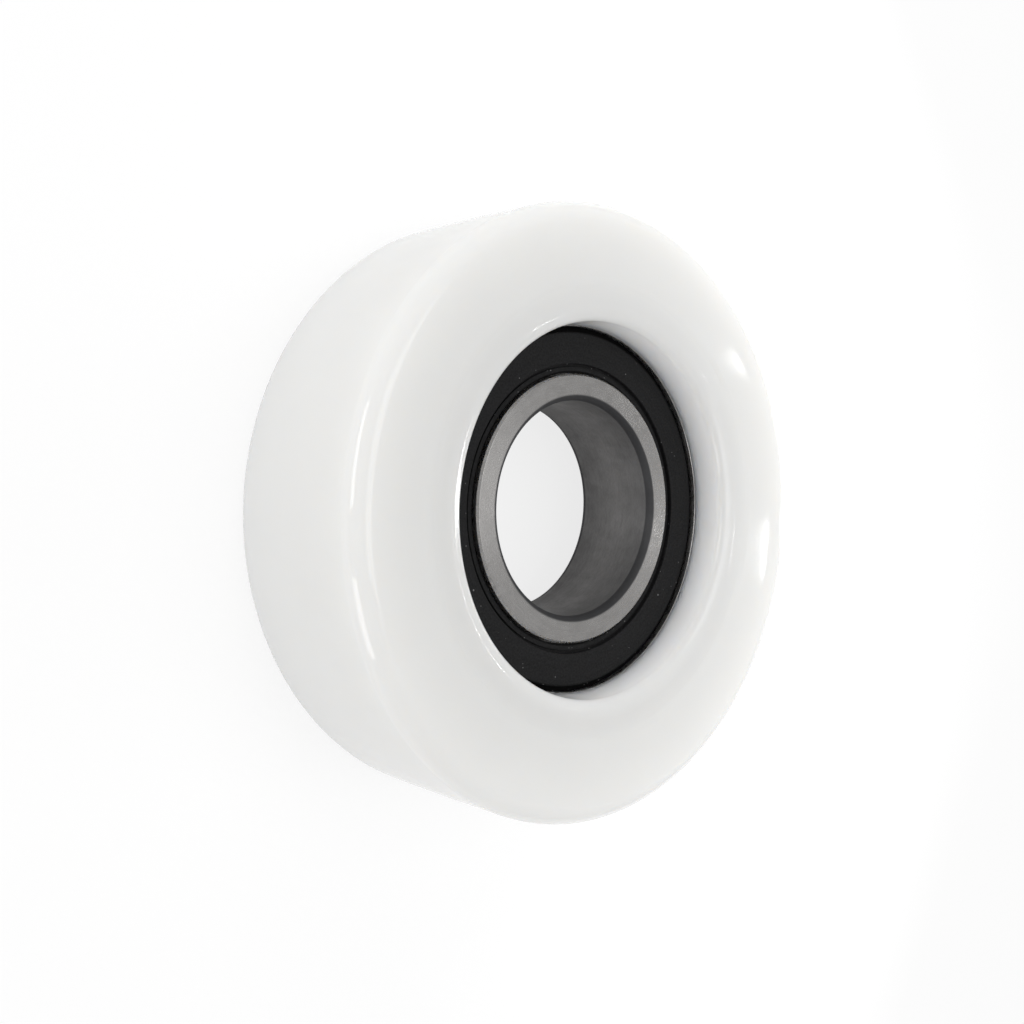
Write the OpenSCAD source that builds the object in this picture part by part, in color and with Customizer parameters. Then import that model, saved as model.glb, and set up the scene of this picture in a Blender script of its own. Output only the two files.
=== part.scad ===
// Garage door roller: a moulded white nylon tyre on a sealed deep-groove ball bearing.
// Millimetres. +Z is the rolling axis, and the origin is the centre of the bore.

/* [Bearing] */
// Bore that the axle goes through
bore_d = 25; // [22:0.5:27]
// Outside diameter of the bearing
bearing_od = 47; // [45:0.5:52]
// Width of both bearing rings
bearing_w = 12; // [11.5:0.5:14]
// Rounding of the rings' outer and bore corners
ring_corner_r = 0.75; // [0.4:0.05:1]
// Small edge break round the inner ring's visible face
edge_break = 0.25; // [0.05:0.05:0.4]

/* [Balls and raceways] */
// Number of balls
ball_count = 10; // [7:1:10]
// Ball diameter (17/64 inch)
ball_d = 6.747; // [5.5:0.001:6.9]
// Clearance between a ball and each raceway
race_gap = 0.02; // [0.01:0.005:0.05]
// Raceway groove radius as a share of the ball diameter
groove_conformity = 0.52; // [0.515:0.005:0.54]
// Depth of each raceway below its shoulder
shoulder_h = 1.3; // [1:0.05:1.4]

/* [Cage] */
// Sheet thickness of the two riveted cage halves
cage_t = 0.6; // [0.4:0.05:0.7]
// Radial width of the cage ribbon
cage_w = 2.4; // [1.8:0.1:2.8]
// Clearance between a ball and its cage pocket
pocket_gap = 0.1; // [0.05:0.01:0.15]
// Rivet shank diameter
rivet_d = 0.9; // [0.7:0.05:1]
// Rivet head diameter
rivet_head_d = 1.6; // [1.2:0.05:1.8]
// Height of a rivet head
rivet_head_h = 0.35; // [0.2:0.05:0.5]

/* [Seals] */
// How far the seal's face lies below the ring's side face
seal_recess = 0.3; // [0.2:0.05:0.5]
// Thickness of the seal's flat web
seal_t = 0.8; // [0.6:0.05:0.9]
// Depth of the step from the web down to the sealing lip
seal_step = 0.3; // [0.2:0.05:0.35]
// Radial width of the stepped band that carries the lip
lip_band_w = 1.1; // [0.8:0.05:1.4]
// Running clearance between the lip and the inner ring
lip_gap = 0.1; // [0.05:0.01:0.1]
// How far the inner ring is ground down where the lip runs
land_step = 0.3; // [0.2:0.05:0.4]
// Radial wall of the outer ring beside the seal
seal_wall = 2.35; // [2:0.05:2.6]
// Depth of the snap-in groove in the outer ring
seal_groove = 0.4; // [0.25:0.05:0.5]
// Height of the snap-in bead
bead_h = 0.6; // [0.4:0.05:0.7]
// Width of the rounded-off rim between the web and the outer ring
rim_w = 0.65; // [0.4:0.05:0.8]
// Thickness of the lip at its tip
lip_t = 0.25; // [0.15:0.05:0.3]
// Radial width of the ridge behind the lip
lip_ridge_w = 0.5; // [0.3:0.05:0.6]
// Thickness of the flexible neck between the ridge and the web
neck_t = 0.25; // [0.2:0.05:0.4]
// Assembly clearance between the bead and its groove
bead_gap = 0.02; // [0.01:0.01:0.05]

/* [Tyre] */
// Diameter over the tread's crown
tyre_od = 70; // [66:0.5:80]
// Width between the tyre's two side crests
tyre_w = 22; // [20:0.5:28]
// Drop of the tread from its crown to each corner
crown_drop = 0.1; // [0.05:0.05:0.4]
// Rounding between the tread and the side face
tread_corner_r = 2.2; // [0.8:0.1:3]
// Radial width of the flat crest that the roller rests on
crest_w = 1.6; // [1:0.1:3]
// Fall of the dished side face from the crest to the witness step
dish_fall = 0.18; // [0.05:0.01:0.5]
// Height of the small step that the mould's core leaves
witness_step = 0.08; // [0.05:0.01:0.15]
// Distance of that step from the edge of the hole at the ring
witness_reach = 4.6; // [3:0.1:5]
// How far the tyre's lip reaches in over the bearing's side face
lip_cover = 2.3; // [1.5:0.05:2.35]
// Draft angle of the hole's wall
hole_draft = 2.4; // [1:0.1:5]
// Rounding of the hole's edge
hole_edge_r = 1.5; // [0.5:0.1:2]

/* [Hidden] */
$fn = 96;
bearing_r = bearing_od / 2;
half_b = bearing_w / 2;
ball_r = ball_d / 2;
pitch_r = (bore_d + bearing_od) / 4;
groove_r = groove_conformity * ball_d;
inner_groove_c = pitch_r - ball_r - race_gap + groove_r;
outer_groove_c = pitch_r + ball_r + race_gap - groove_r;
inner_shoulder_r = pitch_r - ball_r - race_gap + shoulder_h;
outer_shoulder_r = pitch_r + ball_r + race_gap - shoulder_h;
land_r = inner_shoulder_r - land_step;

pocket_r = ball_r + pocket_gap;
cage_ri = pitch_r - cage_w / 2;
cage_ro = pitch_r + cage_w / 2;
pocket_top = pocket_r + cage_t;

seal_top = half_b - seal_recess;
seal_under = seal_top - seal_t;
seal_mouth_r = bearing_r - seal_wall;
seal_groove_r = seal_mouth_r + seal_groove;
ledge_h = seal_under - bead_h / 2;
bead_top = ledge_h + bead_h;
lip_tip_r = land_r + lip_gap;
lip_top = seal_top - seal_step;
neck_top = seal_under + neck_t;

tyre_r = tyre_od / 2;
half_w = tyre_w / 2;
hole_r = bearing_r - lip_cover;
// The crown is one arc through the mid-plane and both side faces.
crown_r = (half_w * half_w + crown_drop * crown_drop) / (2 * crown_drop);
tread_corner = [tyre_r - crown_r + sqrt(pow(crown_r - tread_corner_r, 2) - pow(half_w - tread_corner_r, 2)),
                half_w - tread_corner_r];
crest_in_r = tread_corner.x - crest_w;
witness_r = hole_r + witness_reach;
witness_top = half_w - dish_fall;
collar_h = witness_top - witness_step;
hole_edge_y = collar_h - hole_edge_r;
hole_edge_x = hole_r + (hole_edge_y - half_b) * tan(hole_draft) + hole_edge_r / cos(hole_draft);

function two_digits(i) = str(i < 10 ? "0" : "", i);
BALLS = [for (i = [1:ball_count]) str("ball_", two_digits(i))];

// Both ends of a section that is symmetric about the mid-plane.
module both_ends() {
    children();
    mirror([0, 1, 0]) children();
}

// The waste outside a round of radius r about centre c, between two directions.
module corner_waste(c, r, from, to) {
    reach = 2 * r;
    half = (to - from) / 2;
    tip = from + half;
    difference() {
        polygon([c,
                 c + reach * [cos(from), sin(from)],
                 c + reach / cos(half) * [cos(tip), sin(tip)],
                 c + reach * [cos(to), sin(to)]]);
        translate(c) circle(r);
    }
}

// Outline of the outer ring before its inside is cut: also the tyre's pocket.
module outer_ring_outline(inner_r) {
    difference() {
        translate([inner_r, -half_b]) square([bearing_r - inner_r, bearing_w]);
        both_ends()
            corner_waste([bearing_r - ring_corner_r, half_b - ring_corner_r], ring_corner_r, 0, 90);
    }
}

// One side of the tyre's section, from the mid-plane to the side face.
module tyre_half_section() {
    difference() {
        polygon([[bearing_r - 0.5 * lip_cover, 0], [tyre_r, 0], [tyre_r, half_w], [crest_in_r, half_w],
                 [witness_r, witness_top], [witness_r, collar_h],
                 [hole_r + (collar_h - half_b) * tan(hole_draft), collar_h], [hole_r, half_b],
                 [bearing_r - 0.5 * lip_cover, half_b]]);
        corner_waste([hole_edge_x, hole_edge_y], hole_edge_r, 90, 180 - hole_draft);
    }
}

// Moulded nylon tyre, cast round the outer ring in one piece.
module tyre() {
    color("whitesmoke") rotate_extrude() difference() {
        intersection() {
            both_ends() tyre_half_section();
            translate([tyre_r - crown_r, 0]) circle(crown_r, $fn = 1440);
        }
        both_ends()
            corner_waste(tread_corner, tread_corner_r,
                         asin((half_w - tread_corner_r) / (crown_r - tread_corner_r)), 90);
        outer_ring_outline(hole_r);
    }
}

// Hardened outer ring: raceway, shoulders and the two seal seats.
module outer_ring() {
    color("silver") rotate_extrude() difference() {
        outer_ring_outline(outer_shoulder_r);
        translate([outer_groove_c, 0]) circle(groove_r);
        both_ends() {
            translate([0, ledge_h]) square([seal_mouth_r, half_b]);
            translate([0, ledge_h]) square([seal_groove_r, bead_h]);
        }
    }
}

// Hardened inner ring: bore, raceway, shoulders and the ground lands for the lips.
module inner_ring() {
    color("darkgray") rotate_extrude() difference() {
        translate([bore_d / 2, -half_b]) square([inner_shoulder_r - bore_d / 2, bearing_w]);
        translate([inner_groove_c, 0]) circle(groove_r);
        both_ends() {
            corner_waste([bore_d / 2 + ring_corner_r, half_b - ring_corner_r], ring_corner_r, 90, 180);
            translate([land_r, ledge_h]) square(half_b);
            polygon([[land_r, half_b - edge_break], [land_r, half_b], [land_r - edge_break, half_b]]);
        }
    }
}

module on_pitch(i, offset = 0) {
    rotate((i + offset) * 360 / ball_count) translate([pitch_r, 0, 0]) children();
}

module ball(i) {
    color("gainsboro") on_pitch(i) sphere(ball_r);
}

module ring(ri, ro, h) {
    difference() {
        cylinder(r = ro, h = h);
        translate([0, 0, -1]) cylinder(r = ri, h = h + 2);
    }
}

// Pressed ribbon: flat lands between the balls and a spherical pocket over each ball.
module cage_half() {
    difference() {
        intersection() {
            ring(cage_ri, cage_ro, pocket_top + 1);
            union() {
                cylinder(r = cage_ro + 1, h = cage_t);
                for (i = [0:ball_count - 1]) on_pitch(i) sphere(pocket_top);
            }
        }
        for (i = [0:ball_count - 1]) {
            on_pitch(i) sphere(pocket_r);
            on_pitch(i, 0.5) cylinder(d = rivet_d, h = 4 * cage_t, center = true);
        }
    }
}

module cage_front() {
    color("goldenrod") cage_half();
}

module cage_rear() {
    color("darkgoldenrod") mirror([0, 0, 1]) cage_half();
}

// Shank through both lands, with a domed head on each.
module rivet() {
    dome_r = (pow(rivet_head_d / 2, 2) + pow(rivet_head_h, 2)) / (2 * rivet_head_h);
    rotate_extrude() {
        translate([0, -cage_t]) square([rivet_d / 2, 2 * cage_t]);
        both_ends() intersection() {
            translate([0, cage_t]) square([rivet_head_d / 2, rivet_head_h]);
            translate([0, cage_t + rivet_head_h - dome_r]) circle(dome_r);
        }
    }
}

module cage_rivets() {
    color("silver") for (i = [0:ball_count - 1]) on_pitch(i, 0.5) rivet();
}

// Rubber seal: snap-in bead, flat web, flexible neck, and a ridged lip that runs on the inner ring.
module seal() {
    web_in_r = lip_tip_r + lip_band_w;
    ridge_r = lip_tip_r + lip_t + lip_ridge_w;
    web_out_r = seal_mouth_r - rim_w;
    bead_r = seal_groove_r - bead_gap;
    rotate_extrude() polygon([
        [web_in_r, seal_top], [web_out_r, seal_top],
        [web_out_r, (seal_top + bead_top) / 2], [seal_mouth_r - bead_gap, bead_top - bead_gap],
        [bead_r, bead_top - bead_gap], [bead_r, ledge_h],
        [web_out_r, ledge_h], [web_out_r - rim_w, seal_under],
        [web_in_r, seal_under], [lip_tip_r, lip_top - 2 * lip_t],
        [lip_tip_r, lip_top - lip_t], [lip_tip_r + lip_t, lip_top],
        [ridge_r, lip_top], [ridge_r, neck_top], [web_in_r, neck_top]]);
}

module seal_front() {
    color("#252525") seal();
}

module seal_rear() {
    color("#252525") mirror([0, 0, 1]) seal();
}

tyre();
outer_ring();
inner_ring();
for (i = [0:ball_count - 1])
    ball(i);
cage_front();
cage_rear();
cage_rivets();
seal_front();
seal_rear();
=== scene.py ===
import math

import bpy
from mathutils import Matrix, Vector


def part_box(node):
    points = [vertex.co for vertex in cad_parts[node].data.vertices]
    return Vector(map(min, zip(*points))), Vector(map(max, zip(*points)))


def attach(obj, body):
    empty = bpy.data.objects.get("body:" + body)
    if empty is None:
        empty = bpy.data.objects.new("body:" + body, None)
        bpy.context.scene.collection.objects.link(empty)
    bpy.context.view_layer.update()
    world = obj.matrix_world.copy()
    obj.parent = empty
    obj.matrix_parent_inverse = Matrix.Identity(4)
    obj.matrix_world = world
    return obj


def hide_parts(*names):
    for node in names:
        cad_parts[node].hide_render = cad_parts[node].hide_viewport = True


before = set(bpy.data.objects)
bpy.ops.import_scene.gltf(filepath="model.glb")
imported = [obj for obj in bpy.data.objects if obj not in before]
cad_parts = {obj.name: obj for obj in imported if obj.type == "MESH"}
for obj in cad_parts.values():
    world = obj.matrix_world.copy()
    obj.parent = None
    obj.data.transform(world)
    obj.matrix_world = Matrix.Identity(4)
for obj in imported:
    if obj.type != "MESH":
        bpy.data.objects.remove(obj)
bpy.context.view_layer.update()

MM = 0.001

# ---------------------------------------------------------------------------------------------
# Inner ring. Through-hardened bearing steel with a ground bore, raceway, faces and seal lands.
# The bore's ends are well rounded and the faces' outer edges just broken. The axle holds it.
# ---------------------------------------------------------------------------------------------
ring_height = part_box("inner_ring")[1].z
inner_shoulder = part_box("inner_ring")[1].x
land_drop = 0.3 * MM
land_radius = inner_shoulder - land_drop
land_height = 4.6 * MM
bore_radius = 12.5 * MM
bore_round = 0.75 * MM
edge_break = 0.25 * MM
break_round = 0.15 * MM
land_round = 0.03 * MM
sharp_edge = 0.02 * MM
ball_radius = (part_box("ball_01")[1].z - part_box("ball_01")[0].z) / 2
pitch_radius = 18.0 * MM
race_gap = 0.02 * MM
groove_radius = 0.52 * 2 * ball_radius
groove_fill = 0.985


def rounded_outline(corners, arc_step=math.radians(7)):
    """Points and outward normals round a closed outline of (radius, height, rounding) corners.

    The corners run anticlockwise, with the radius to the right and the height up."""
    outline = []
    for i, (r, h, rounding) in enumerate(corners):
        here = Vector((r, h))
        way_in = (here - Vector(corners[i - 1][:2])).normalized()
        way_out = (Vector(corners[(i + 1) % len(corners)][:2]) - here).normalized()
        turn = math.atan2(way_in.x * way_out.y - way_in.y * way_out.x, way_in.dot(way_out))
        reach = math.copysign(rounding, turn)
        first = Vector((way_in.y, -way_in.x))
        centre = here - way_in * (rounding * math.tan(abs(turn) / 2)) - first * reach
        heading = math.atan2(first.y, first.x)
        steps = max(2, math.ceil(abs(turn) / arc_step))
        for k in range(steps + 1):
            angle = heading + turn * k / steps
            outward = Vector((math.cos(angle), math.sin(angle)))
            outline.append((centre + outward * reach, outward))
    return outline


def turned_ring(name, corners, turns=288):
    """A ring swept round the rolling axis from a rounded outline, with its true surface normals."""
    outline = rounded_outline(corners)
    count = len(outline)
    verts, normals, faces = [], [], []
    for i in range(turns):
        c, s = math.cos(math.tau * i / turns), math.sin(math.tau * i / turns)
        verts += [(point.x * c, point.x * s, point.y) for point, _ in outline]
        normals += [(outward.x * c, outward.x * s, outward.y) for _, outward in outline]
        here, after = i * count, (i + 1) % turns * count
        for j in range(count):
            k = (j + 1) % count
            faces.append((here + j, after + j, after + k, here + k))
    mesh = bpy.data.meshes.new(name)
    mesh.from_pydata(verts, [], faces)
    mesh.shade_smooth()
    mesh.normals_split_custom_set_from_vertices(normals)
    ring = bpy.data.objects.new(name, mesh)
    bpy.context.scene.collection.objects.link(ring)
    return ring


def mirrored(corners):
    """The same outline corners on the other side of the mid-plane."""
    return [(r, -h, rounding) for r, h, rounding in reversed(corners)]


def both_sides(front):
    """A whole outline from its front half, whose corners on the mid-plane are kept once."""
    return [corner for corner in mirrored(front) if corner[1]] + front


def raceway(shoulder, outward):
    """The end of a raceway's groove on its shoulder, and the corner that the groove's arc rounds."""
    centre = pitch_radius + outward * (ball_radius + race_gap - groove_radius)
    spread = math.acos(outward * (shoulder - centre) / groove_radius)
    end = (shoulder, groove_radius * math.sin(spread), sharp_edge)
    return end, (centre + outward * groove_radius / math.cos(spread), 0, groove_fill * groove_radius)


groove_end, groove = raceway(inner_shoulder, -1)
inner_front = [
    groove,
    groove_end,
    (inner_shoulder, land_height, land_round),
    (land_radius, land_height, land_round),
    (land_radius, ring_height - edge_break, break_round),
    (land_radius - edge_break, ring_height, break_round),
    (bore_radius, ring_height, bore_round),
]
inner_ring = turned_ring("bearing_inner_ring", both_sides(inner_front))


def join(tree, socket, value):
    """Feeds an input from another node's output, or sets it."""
    if isinstance(value, bpy.types.NodeSocket):
        tree.links.new(value, socket)
    else:
        socket.default_value = value


def node(tree, kind, sockets=None, **settings):
    """A shader node with its settings made, and the named inputs set or fed."""
    made = tree.nodes.new(kind)
    for name, value in settings.items():
        setattr(made, name, value)
    for name, value in (sockets or {}).items():
        join(tree, made.inputs[name], value)
    return made


def maths(tree, operation, *values, clamp=False):
    """The result of one sum on numbers or on other nodes' outputs."""
    made = node(tree, "ShaderNodeMath", operation=operation, use_clamp=clamp)
    for socket, value in zip(made.inputs, values):
        join(tree, socket, value)
    return made.outputs[0]


def ramp(tree, value, start, end, low=0.0, high=1.0):
    """Goes smoothly from low to high while the value goes from start to end."""
    sockets = {"Value": value, "From Min": start, "From Max": end, "To Min": low, "To Max": high}
    return node(tree, "ShaderNodeMapRange", sockets, interpolation_type="SMOOTHSTEP").outputs["Result"]


def blend(tree, share, first, second):
    """A colour between two colours."""
    made = node(tree, "ShaderNodeMix", data_type="RGBA")
    for socket, value in zip((made.inputs[0], made.inputs[6], made.inputs[7]), (share, first, second)):
        join(tree, socket, value)
    return made.outputs[2]


def effect(name, inputs, outputs):
    """An empty shader node group with named number sockets, and its two end nodes."""
    tree = bpy.data.node_groups.new(name, "ShaderNodeTree")
    for socket, default in inputs.items():
        made = tree.interface.new_socket(socket, in_out="INPUT", socket_type="NodeSocketFloat")
        made.default_value = default
    for socket in outputs:
        tree.interface.new_socket(socket, in_out="OUTPUT", socket_type="NodeSocketFloat")
    return tree, tree.nodes.new("NodeGroupInput").outputs, tree.nodes.new("NodeGroupOutput").inputs


def place_on_ring():
    """How many millimetres a point lies from the rolling axis and above the mid-plane."""
    tree, _, out = effect("place_on_ring", {}, ["Radius", "Height"])
    point = node(tree, "ShaderNodeTexCoord").outputs["Object"]
    x, y, z = node(tree, "ShaderNodeSeparateXYZ", {"Vector": point}).outputs
    radius = maths(tree, "SQRT", maths(tree, "MULTIPLY_ADD", x, x, maths(tree, "MULTIPLY", y, y)))
    join(tree, out["Radius"], maths(tree, "DIVIDE", radius, MM))
    join(tree, out["Height"], maths(tree, "DIVIDE", z, MM))
    return tree


def turning_marks(place):
    """Fine marks that run round the rolling axis, from grinding, turning or a turned mould."""
    inputs = {"Marks per Millimetre": 8.0, "Marks Round": 12.0, "Contrast": 1.0}
    tree, given, out = effect("turning_marks", inputs, ["Marks"])
    point = node(tree, "ShaderNodeTexCoord").outputs["Object"]
    x, y, _ = node(tree, "ShaderNodeSeparateXYZ", {"Vector": point}).outputs
    flat = node(tree, "ShaderNodeCombineXYZ", {"X": x, "Y": y}).outputs[0]
    heading = node(tree, "ShaderNodeVectorMath", {0: flat}, operation="NORMALIZE").outputs[0]
    x, y, _ = node(tree, "ShaderNodeSeparateXYZ", {"Vector": heading}).outputs
    where = node(tree, "ShaderNodeGroup", node_tree=place).outputs
    across = maths(tree, "MULTIPLY", maths(tree, "ADD", where["Radius"], where["Height"]),
                   given["Marks per Millimetre"])
    sockets = {"X": maths(tree, "MULTIPLY", x, given["Marks Round"]),
               "Y": maths(tree, "MULTIPLY", y, given["Marks Round"]), "Z": across}
    streaks = node(tree, "ShaderNodeCombineXYZ", sockets).outputs[0]
    noise = node(tree, "ShaderNodeTexNoise", {"Vector": streaks, "Scale": 1.0, "Detail": 3.0}).outputs[0]
    centred = maths(tree, "SUBTRACT", noise, 0.5)
    join(tree, out["Marks"], maths(tree, "MULTIPLY_ADD", centred, given["Contrast"], 0.5, clamp=True))
    return tree


def cloudiness():
    """A soft drift over the surface, for unevenness in colour, gloss or level."""
    inputs = {"Patch Millimetres": 5.0, "Detail": 2.0, "Contrast": 1.0}
    tree, given, out = effect("cloudiness", inputs, ["Drift"])
    point = node(tree, "ShaderNodeTexCoord").outputs["Object"]
    scale = maths(tree, "DIVIDE", 1 / MM, given["Patch Millimetres"])
    noise = node(tree, "ShaderNodeTexNoise",
                 {"Vector": point, "Scale": scale, "Detail": given["Detail"]}).outputs[0]
    centred = maths(tree, "SUBTRACT", noise, 0.5)
    join(tree, out["Drift"], maths(tree, "MULTIPLY_ADD", centred, given["Contrast"], 0.5, clamp=True))
    return tree


def placed(tree, group, **values):
    """The outputs of an effect placed in a material with its own values."""
    made = node(tree, "ShaderNodeGroup", node_tree=group)
    for name, value in values.items():
        join(tree, made.inputs[name.replace("_", " ")], value)
    return made.outputs


def new_material(name, **values):
    """A material, its node tree and its shader, with the values that are the same all over set."""
    material = bpy.data.materials.new(name)
    material.use_nodes = True
    shader = material.node_tree.nodes["Principled BSDF"]
    for socket, value in values.items():
        shader.inputs[socket.replace("_", " ")].default_value = value
    return material, material.node_tree, shader.inputs


PLACE = place_on_ring()
MARKS = turning_marks(PLACE)
DRIFT = cloudiness()


def ground_steel(name, bright, dull):
    """Ground steel, whose grinding marks run round. The bore is coarser than the rest, and painted darker as
    painted shade.
    """
    material, tree, shader = new_material(name, Metallic=1.0, Anisotropic=0.8, Anisotropic_Rotation=0.25)
    fine = placed(tree, MARKS, Marks_per_Millimetre=22.0, Marks_Round=30.0, Contrast=1.6)["Marks"]
    broad = placed(tree, MARKS, Marks_per_Millimetre=3.0, Marks_Round=5.0, Contrast=1.3)["Marks"]
    stain = placed(tree, DRIFT, Patch_Millimetres=1.6, Detail=4.0, Contrast=1.7)["Drift"]
    mottle = maths(tree, "MULTIPLY_ADD", fine, 0.45, maths(tree, "MULTIPLY_ADD", stain, 0.3,
                   maths(tree, "MULTIPLY", broad, 0.25)), clamp=True)
    where = placed(tree, PLACE)
    # Painted shade: inside the bore the colour is painted towards dark grey, less in its middle, more towards
    # its ends and fully on its rounded ends.
    bore = ramp(tree, where["Radius"], 13.3, 13.0)
    height = maths(tree, "ABSOLUTE", where["Height"])
    bore_shade_strength = maths(tree, "MAXIMUM", ramp(tree, height, 0.0, 4.9, 0.46, 0.62), ramp(tree, height, 4.9, 5.3))
    shade = maths(tree, "MULTIPLY", bore, bore_shade_strength)
    colour = blend(tree, shade, blend(tree, mottle, bright, dull), (0.085, 0.085, 0.088, 1))
    join(tree, shader["Base Color"], colour)
    roughness = maths(tree, "MULTIPLY_ADD", bore, 0.33, ramp(tree, mottle, 0.2, 0.8, 0.22, 0.33))
    join(tree, shader["Roughness"], roughness)
    bump = node(tree, "ShaderNodeBump", {"Height": fine, "Distance": 0.0008 * MM, "Strength": 1.0})
    join(tree, shader["Normal"], bump.outputs["Normal"])
    turned = node(tree, "ShaderNodeTangent", direction_type="RADIAL", axis="Z")
    join(tree, shader["Tangent"], turned.outputs["Tangent"])
    return material


inner_ring.data.materials.append(
    ground_steel("ground_steel", (0.51, 0.50, 0.49, 1), (0.24, 0.233, 0.229, 1)))
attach(inner_ring, "hub")
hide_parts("inner_ring")

# ---------------------------------------------------------------------------------------------
# Outer ring. The same hardened steel, with the outer raceway and, at each end, a seat and a
# snap-in groove for the seal. The tyre is moulded round it, so that little of it shows.
# ---------------------------------------------------------------------------------------------
ring_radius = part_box("outer_ring")[1].x
ring_round = 0.75 * MM
outer_shoulder = 20.094 * MM
seat_radius = ring_radius - 2.35 * MM
seat_groove = seat_radius + 0.4 * MM
groove_height = 0.6 * MM
groove_round = 0.04 * MM

groove_end, groove = raceway(outer_shoulder, 1)
outer_front = [
    (ring_radius, ring_height, ring_round),
    (seat_radius, ring_height, 0.1 * MM),
    (seat_radius, land_height + groove_height, groove_round),
    (seat_groove, land_height + groove_height, groove_round),
    (seat_groove, land_height, groove_round),
    (outer_shoulder, land_height, 0.05 * MM),
    groove_end,
    groove,
]
outer_ring = turned_ring("bearing_outer_ring", both_sides(outer_front))
outer_ring.data.materials.append(
    ground_steel("ground_steel_outer", (0.58, 0.57, 0.56, 1), (0.44, 0.43, 0.42, 1)))
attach(outer_ring, "roller")
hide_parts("outer_ring")

# ---------------------------------------------------------------------------------------------
# Balls. Ten through-hardened chrome steel balls, lapped to a mirror finish. They roll between
# the raceways, and the cage keeps them apart.
# ---------------------------------------------------------------------------------------------
ball_names = [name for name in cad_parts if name.startswith("ball_")]


def lapped_steel():
    """Mirror steel with a faint haze of lapping marks and a thin film of grease."""
    material, tree, shader = new_material("lapped_steel", Metallic=1.0)
    film = placed(tree, DRIFT, Patch_Millimetres=1.8, Detail=5.0, Contrast=1.8)["Drift"]
    colour = blend(tree, film, (0.66, 0.655, 0.65, 1), (0.58, 0.57, 0.555, 1))
    join(tree, shader["Base Color"], colour)
    join(tree, shader["Roughness"], ramp(tree, film, 0.3, 0.7, 0.06, 0.16))
    return material


ball_finish = lapped_steel()
for name in ball_names:
    ball = bpy.data.objects[name].data
    ball.shade_smooth()
    ball.materials.clear()
    ball.materials.append(ball_finish)

# ---------------------------------------------------------------------------------------------
# Cage. Two ribbons pressed from steel strip, with a spherical pocket over each ball, joined by
# a small steel rivet between each pair of balls.
# ---------------------------------------------------------------------------------------------


def pressed_strip(name, bright, dull, roughness):
    """Cold-rolled strip, dulled by the press and the tumbling that takes its burrs off."""
    material, tree, shader = new_material(name, Metallic=1.0)
    tumbled = placed(tree, DRIFT, Patch_Millimetres=0.5, Detail=5.0, Contrast=2.2)["Drift"]
    rolled = placed(tree, MARKS, Marks_per_Millimetre=9.0, Marks_Round=60.0, Contrast=1.2)["Marks"]
    mottle = maths(tree, "MULTIPLY_ADD", tumbled, 0.7, maths(tree, "MULTIPLY", rolled, 0.3))
    join(tree, shader["Base Color"], blend(tree, mottle, bright, dull))
    join(tree, shader["Roughness"], ramp(tree, mottle, 0.3, 0.7, roughness - 0.06, roughness + 0.08))
    bump = node(tree, "ShaderNodeBump", {"Height": tumbled, "Distance": 0.004 * MM, "Strength": 1.0})
    join(tree, shader["Normal"], bump.outputs["Normal"])
    return material


strip_finish = pressed_strip("pressed_strip", (0.50, 0.48, 0.45, 1), (0.36, 0.34, 0.32, 1), 0.36)
rivet_finish = pressed_strip("headed_rivet", (0.58, 0.57, 0.56, 1), (0.44, 0.43, 0.42, 1), 0.28)
crease_angle = math.radians(28)
cage_finishes = {"cage_front": strip_finish, "cage_rear": strip_finish, "cage_rivets": rivet_finish}
for name, finish in cage_finishes.items():
    ribbon = bpy.data.objects[name].data
    ribbon.shade_smooth()
    ribbon.set_sharp_from_angle(angle=crease_angle)
    ribbon.materials.clear()
    ribbon.materials.append(finish)

# ---------------------------------------------------------------------------------------------
# Seals. Black nitrile rubber moulded over a thin steel disc. The rim snaps into the outer
# ring's groove, and a stepped lip runs on the inner ring's land.
# ---------------------------------------------------------------------------------------------
seal_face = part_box("seal_front")[1].z
lip_gap = 0.1 * MM
lip_bevel = 0.25 * MM
bead_gap = 0.02 * MM
web_taper = 0.65 * MM
lip_tip = land_radius + lip_gap
band_edge = lip_tip + 1.1 * MM
ridge_edge = lip_tip + 0.75 * MM
ridge_face = seal_face - 0.3 * MM
seal_under = seal_face - 0.8 * MM
neck_face = seal_under + 0.25 * MM
rim_edge = seat_radius - web_taper
bead_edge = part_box("seal_front")[1].x
bead_top = land_height + groove_height - bead_gap

seal_outline = [
    (rim_edge, land_height, 0.1 * MM),
    (bead_edge, land_height, 0.1 * MM),
    (bead_edge, bead_top, 0.12 * MM),
    (seat_radius - bead_gap, bead_top, 0.04 * MM),
    (rim_edge + 0.02 * MM, bead_top + 0.27 * MM, 0.08 * MM),
    (rim_edge, seal_face, 0.1 * MM),
    (band_edge, seal_face, 0.08 * MM),
    (band_edge, neck_face, 0.06 * MM),
    (ridge_edge, neck_face, 0.06 * MM),
    (ridge_edge, ridge_face, 0.08 * MM),
    (lip_tip + lip_bevel, ridge_face, 0.08 * MM),
    (lip_tip, ridge_face - lip_bevel, 0.04 * MM),
    (lip_tip, seal_under, 0.03 * MM),
    (band_edge, seal_under, 0.05 * MM),
    (rim_edge - web_taper, seal_under, 0.05 * MM),
]


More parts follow.
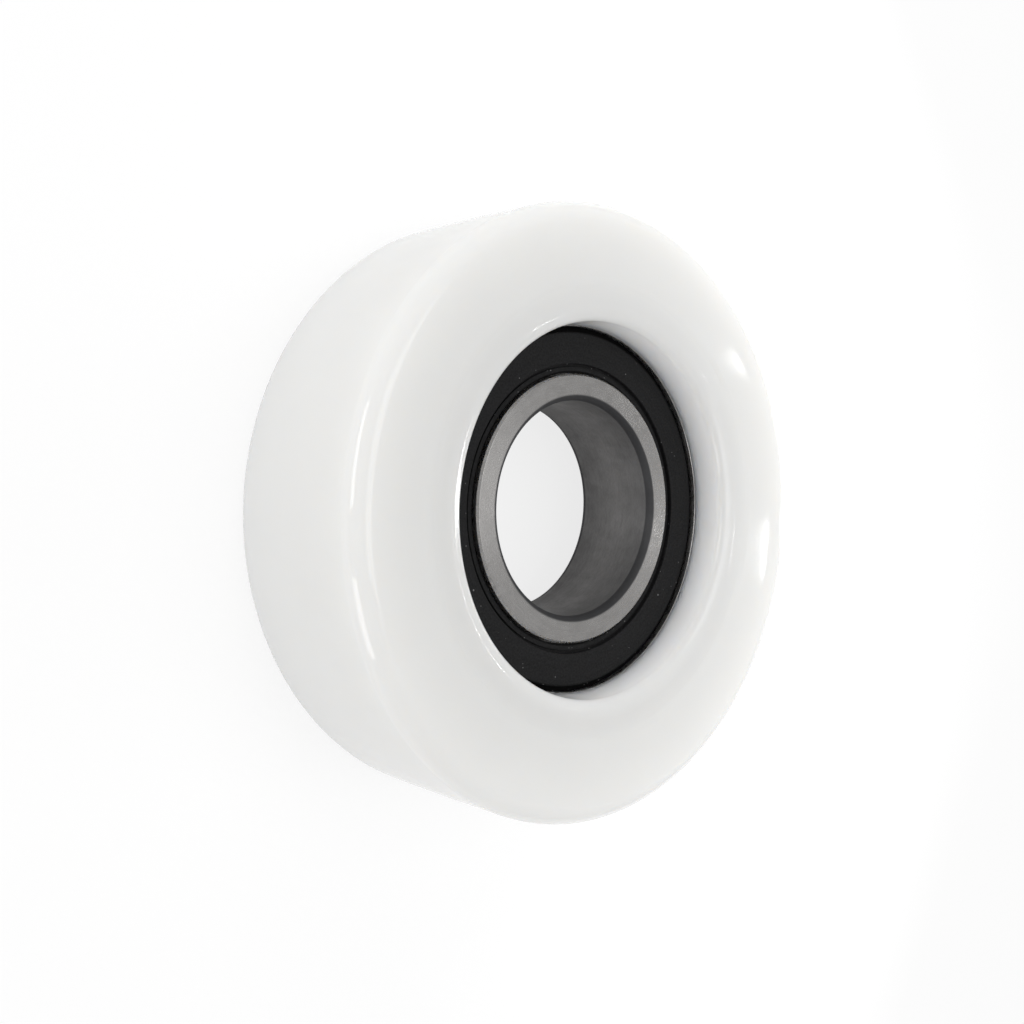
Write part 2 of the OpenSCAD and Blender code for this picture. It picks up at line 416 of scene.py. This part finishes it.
def specks():
    """Scattered specks of dust or flecks in the moulding, as a mask that is 1 on a speck."""
    inputs = {"Spacing Millimetres": 1.0, "Size": 0.12, "Share": 0.5}
    tree, given, out = effect("specks", inputs, ["Mask"])
    point = node(tree, "ShaderNodeTexCoord").outputs["Object"]
    scale = maths(tree, "DIVIDE", 1 / MM, given["Spacing Millimetres"])
    cells = node(tree, "ShaderNodeTexVoronoi", {"Vector": point, "Scale": scale}).outputs
    own = node(tree, "ShaderNodeSeparateColor", {"Color": cells["Color"]}).outputs
    reach = maths(tree, "MULTIPLY", given["Size"], maths(tree, "ADD", own["Green"], 0.35))
    inside = maths(tree, "SUBTRACT", 1.0, maths(tree, "DIVIDE", cells["Distance"], reach), clamp=True)
    kept = maths(tree, "LESS_THAN", own["Red"], given["Share"])
    join(tree, out["Mask"], maths(tree, "MULTIPLY", maths(tree, "MULTIPLY", inside, 2.0, clamp=True), kept))
    return tree


SPECKS = specks()


def nitrile_rubber():
    """Matte black rubber with the turned mould's marks and a little pale dust, painted darker towards the rim
    as painted shade.
    """
    material, tree, shader = new_material("nitrile_rubber")
    bloom = placed(tree, DRIFT, Patch_Millimetres=2.2, Detail=4.0, Contrast=1.5)["Drift"]
    rings = placed(tree, MARKS, Marks_per_Millimetre=4.0, Marks_Round=4.0, Contrast=1.4)["Marks"]
    grain = placed(tree, DRIFT, Patch_Millimetres=0.22, Detail=3.0, Contrast=2.4)["Drift"]
    radius = placed(tree, PLACE)["Radius"]
    rim_shade_and_dust = ramp(tree, radius, 20.2, 20.6)
    at_lip = ramp(tree, radius, 17.0, 16.7)
    edges = maths(tree, "MAXIMUM", rim_shade_and_dust, at_lip)
    dust = placed(tree, SPECKS, Spacing_Millimetres=0.5, Size=0.2,
                  Share=maths(tree, "MULTIPLY_ADD", edges, 0.25, 0.09))["Mask"]
    shade = maths(tree, "MULTIPLY_ADD", bloom, 0.6, maths(tree, "MULTIPLY", rings, 0.4), clamp=True)
    mixed = maths(tree, "MULTIPLY_ADD", grain, 0.5, maths(tree, "MULTIPLY", shade, 0.5))
    black = blend(tree, mixed, (0.001, 0.001, 0.0012, 1), (0.022, 0.022, 0.0228, 1))
    # Painted shade: towards the rim, where the seal slopes down into the gap by the outer ring, the black is
    # painted darker still and its reflection turned down.
    black = blend(tree, maths(tree, "MULTIPLY", rim_shade_and_dust, 0.8), black, (0.002, 0.002, 0.002, 1))
    join(tree, shader["Specular IOR Level"], maths(tree, "MULTIPLY_ADD", rim_shade_and_dust, -0.09, 0.12))
    dusty = blend(tree, maths(tree, "MULTIPLY", dust, 0.6), black, (0.26, 0.26, 0.26, 1))
    join(tree, shader["Base Color"], dusty)
    join(tree, shader["Roughness"], ramp(tree, bloom, 0.2, 0.8, 0.48, 0.66))
    level = maths(tree, "MULTIPLY_ADD", rings, 2.0, maths(tree, "MULTIPLY_ADD", grain, 1.0, dust))
    bump = node(tree, "ShaderNodeBump", {"Height": level, "Distance": 0.006 * MM, "Strength": 1.0})
    join(tree, shader["Normal"], bump.outputs["Normal"])
    return material


rubber = nitrile_rubber()
for side, corners in (("front", seal_outline), ("rear", mirrored(seal_outline))):
    seal = turned_ring("rubber_seal_" + side, corners)
    seal.data.materials.append(rubber)
    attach(seal, "roller")
    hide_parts("seal_" + side)

# ---------------------------------------------------------------------------------------------
# Tyre. White nylon, injection moulded round the outer ring in one piece, so that it grips both
# of the ring's side faces. Its sides are slightly dished between a flat crest and the small
# step that the mould's core leaves, and every edge is rounded.
# ---------------------------------------------------------------------------------------------
tyre_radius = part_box("tyre")[1].x
side_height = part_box("tyre")[1].z
crown_drop = 0.1 * MM
crown_peak = 1.52 * crown_drop
crown_round = 545 * MM
tread_round = 2.2 * MM
crest_width = 1.6 * MM
dish_fall = 0.18 * MM
dish_round = 65 * MM
witness_step = 0.08 * MM
step_reach = 0.45 * MM
step_fillet = 1 * MM
lip_cover = 2.3 * MM
hole_radius = ring_radius - lip_cover
hole_draft = math.radians(2.4)
mouth_slope = math.radians(20)
mouth_lead = 1.3 * MM
mouth_drop = mouth_lead * math.tan(mouth_slope)
lead_round = 4 * MM
mouth_round = 0.9 * MM
witness_radius = hole_radius + 4.6 * MM
collar_height = side_height - dish_fall - witness_step
hole_mouth = hole_radius + (collar_height - mouth_drop - ring_height) * math.tan(hole_draft)
tread_edge = tyre_radius - crown_drop

tyre_front = [
    (tread_edge + crown_peak, 0, crown_round),
    (tread_edge, side_height, tread_round),
    (tread_edge - tread_round - crest_width, side_height, dish_round),
    (witness_radius + step_reach, side_height - dish_fall, step_fillet),
    (witness_radius - step_reach, collar_height, step_fillet),
    (hole_mouth + mouth_lead, collar_height, lead_round),
    (hole_mouth, collar_height - mouth_drop, mouth_round),
    (hole_radius, ring_height, sharp_edge),
    (ring_radius, ring_height, ring_round),
]
tyre = turned_ring("moulded_tyre", both_sides(tyre_front), turns=384)


def moulded_nylon():
    """Glossy, slightly translucent white with a little flow in its tone. Round the hole it is painted grey as
    painted shade, for the steel ring inside that greys it, and the hole's wall is painted lighter as painted
    light.
    """
    material, tree, shader = new_material(
        "moulded_nylon", IOR=1.53, Subsurface_Weight=1.0, Subsurface_Scale=6.0 * MM,
        Subsurface_Radius=(1.0, 0.95, 0.88))
    where = placed(tree, PLACE)
    near_hole = ramp(tree, where["Radius"], 26.2, 23.0)
    deep = ramp(tree, maths(tree, "ABSOLUTE", where["Height"]), 10.4, 9.0)
    painted_wall_light = maths(tree, "MULTIPLY", near_hole, deep)
    # Painted shade: round the hole the nylon is painted grey, standing in for the steel ring that shows
    # through it, and faintly darker over the dish towards the hole.
    painted_ring_shade = maths(tree, "MULTIPLY", maths(tree, "SUBTRACT", near_hole, painted_wall_light), 0.25)
    painted_shade_to_hole = ramp(tree, where["Radius"], 32.0, 25.0, 0.0, 0.12)
    flow = placed(tree, DRIFT, Patch_Millimetres=7.0, Detail=2.5)["Drift"]
    flow_and_painted_shade = maths(tree, "MULTIPLY_ADD", flow, 0.08, maths(tree, "ADD", painted_ring_shade, painted_shade_to_hole), clamp=True)
    colour = blend(tree, flow_and_painted_shade, (0.80, 0.80, 0.788, 1), (0.565, 0.565, 0.56, 1))
    # Painted light: the hole's wall is painted nearly white, lighter than the rest, standing in for light
    # that comes through the nylon into it.
    join(tree, shader["Base Color"], blend(tree, painted_wall_light, colour, (0.988, 0.985, 0.972, 1)))
    gloss = placed(tree, DRIFT, Patch_Millimetres=2.5, Detail=4.0)["Drift"]
    join(tree, shader["Roughness"], ramp(tree, gloss, 0.2, 0.8, 0.05, 0.085))
    skin = placed(tree, DRIFT, Patch_Millimetres=1.1, Detail=2.0)["Drift"]
    sink = placed(tree, DRIFT, Patch_Millimetres=9.0, Detail=1.0)["Drift"]
    level = maths(tree, "MULTIPLY_ADD", sink, 12.0, skin)
    bump = node(tree, "ShaderNodeBump", {"Height": level, "Distance": 0.0012 * MM, "Strength": 1.0})
    join(tree, shader["Normal"], bump.outputs["Normal"])
    return material


tyre.data.materials.append(moulded_nylon())
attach(tyre, "roller")
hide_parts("tyre")

# ---------------------------------------------------------------------------------------------
# Floor. A plain pale table top that the roller lies on, on its side crest. Most of its white is
# its own, so that it looks white all over, and the rest takes the roller's soft shadow.
# ---------------------------------------------------------------------------------------------
floor_mesh = bpy.data.meshes.new("floor")
half = 3.0
white_to_camera = 0.75
white_in_glosses = 0.65
floor_mesh.from_pydata([(-half, -half, -side_height), (half, -half, -side_height),
                        (half, half, -side_height), (-half, half, -side_height)], [], [(0, 1, 2, 3)])
floor = bpy.data.objects.new("floor", floor_mesh)
bpy.context.scene.collection.objects.link(floor)


def pale_table():
    """A matte, faintly mottled table top that is partly lit from within."""
    material, tree, shader = new_material("pale_table", Roughness=0.9, Specular_IOR_Level=0.0)
    mottle = placed(tree, DRIFT, Patch_Millimetres=40.0, Detail=3.0)["Drift"]
    join(tree, shader["Base Color"], blend(tree, mottle, (0.86, 0.86, 0.86, 1), (0.84, 0.84, 0.84, 1)))
    glow = node(tree, "ShaderNodeEmission", {"Color": (1, 1, 1, 1), "Strength": 1.06})
    path = node(tree, "ShaderNodeLightPath").outputs
    share = maths(tree, "MAXIMUM", maths(tree, "MULTIPLY", path["Is Camera Ray"], white_to_camera),
                  maths(tree, "MULTIPLY", path["Is Glossy Ray"], white_in_glosses))
    mixed = node(tree, "ShaderNodeMixShader", {0: share})
    tree.links.new(tree.nodes["Principled BSDF"].outputs[0], mixed.inputs[1])
    tree.links.new(glow.outputs[0], mixed.inputs[2])
    tree.links.new(mixed.outputs[0], tree.nodes["Material Output"].inputs["Surface"])
    return material


floor_mesh.materials.append(pale_table())

# ---------------------------------------------------------------------------------------------
# Light and camera. An even white studio with two soft boxes on the left, one above and one in
# front, matte fill at the right, two strips for the glint on the hole's edge, and two small
# lamps whose reflections lie on the right of the tyre's side.
# ---------------------------------------------------------------------------------------------
scene = bpy.context.scene
world = bpy.data.worlds.new("studio")
world.use_nodes = True
scene.world = world
studio_level = 0.60
background = world.node_tree.nodes["Background"].inputs
background["Color"].default_value = (1, 1, 1, 1)
path = node(world.node_tree, "ShaderNodeLightPath").outputs
join(world.node_tree, background["Strength"],
     ramp(world.node_tree, path["Is Camera Ray"], 0.0, 1.0, studio_level, 1.0))

axis_turn = math.radians(42.42)
axis_tilt = math.radians(0.98)
axis_in_view = Vector((math.sin(axis_turn) * math.cos(axis_tilt), math.sin(axis_tilt),
                       math.cos(axis_turn) * math.cos(axis_tilt)))
across_in_view = Vector((math.cos(axis_turn), 0, -math.sin(axis_turn)))
view = Matrix((across_in_view, axis_in_view.cross(across_in_view), axis_in_view))
bore_in_view = Vector((3.25, -9.35, -135.7)) * MM

camera_data = bpy.data.cameras.new("camera")
camera_data.lens = 39.74
camera_data.shift_x = -0.0048
camera_data.shift_y = -0.0818
camera_data.clip_start = 0.01
camera = bpy.data.objects.new("camera", camera_data)
camera.matrix_world = Matrix.Translation(view @ -bore_in_view) @ view.to_4x4()
scene.collection.objects.link(camera)
scene.camera = camera


def soft_box(name, away, target, width, height, brightness, gloss=True, fill=True):
    """A flat lamp that faces the target, from a place that is given away from it. Size in metres.

    It can be left out of the glosses, or out of the even light that falls on the surfaces."""
    lamp = bpy.data.lights.new(name, "AREA")
    lamp.shape = "RECTANGLE"
    lamp.size, lamp.size_y = width, height
    lamp.energy = brightness * math.pi * width * height
    place = Vector(target) + Vector(away)
    back = Vector(away).normalized()
    right = Vector((0, 1, 0)).cross(back).normalized()
    box = bpy.data.objects.new(name, lamp)
    turned = Matrix((right, back.cross(right), back)).transposed()
    box.matrix_world = Matrix.Translation(place) @ turned.to_4x4()
    box.visible_camera = False
    box.visible_glossy = gloss
    box.visible_diffuse = fill
    scene.collection.objects.link(box)


face_middle = Vector((0, 0, side_height))
soft_box("left_box", view @ Vector((-0.28, 0.175, 0.50)), (-0.034, 0.007, 0.010), 0.17, 0.34, 3.15)
soft_box("low_left_box", view @ Vector((-0.34, -0.36, 0.52)), face_middle, 0.30, 0.30, 2.75)
soft_box("top_box", view @ Vector((0.05, 0.58, 0.22)), face_middle, 0.40, 0.20, 3.4, gloss=False)
soft_box("front_box", (0.12, 0.05, 0.57), face_middle, 0.34, 0.34, 1.35)
soft_box("right_box", (0.583, -0.0485, 0.145), face_middle, 0.26, 0.016, 8.0, fill=False)
soft_box("edge_box", (0.60, -0.01, 0.045), face_middle, 0.10, 0.14, 2.6, fill=False)
soft_box("upper_right_strip", (0.09, 0.075, 0.044), face_middle, 0.03, 0.06, 6.3, gloss=False)
soft_box("lower_right_strip", (0.09, -0.075, 0.044), face_middle, 0.03, 0.06, 6.3, gloss=False)
soft_box("right_low", view @ Vector((0.597, -0.045, -0.036)), (0.028, -0.0065, 0.0108), 0.0075, 0.028, 18.0)
soft_box("right_high", view @ Vector((0.598, 0.031, -0.031)), (0.0215, 0.0178, 0.0108), 0.0065, 0.010, 18.0)

scene.view_settings.view_transform = "Standard"
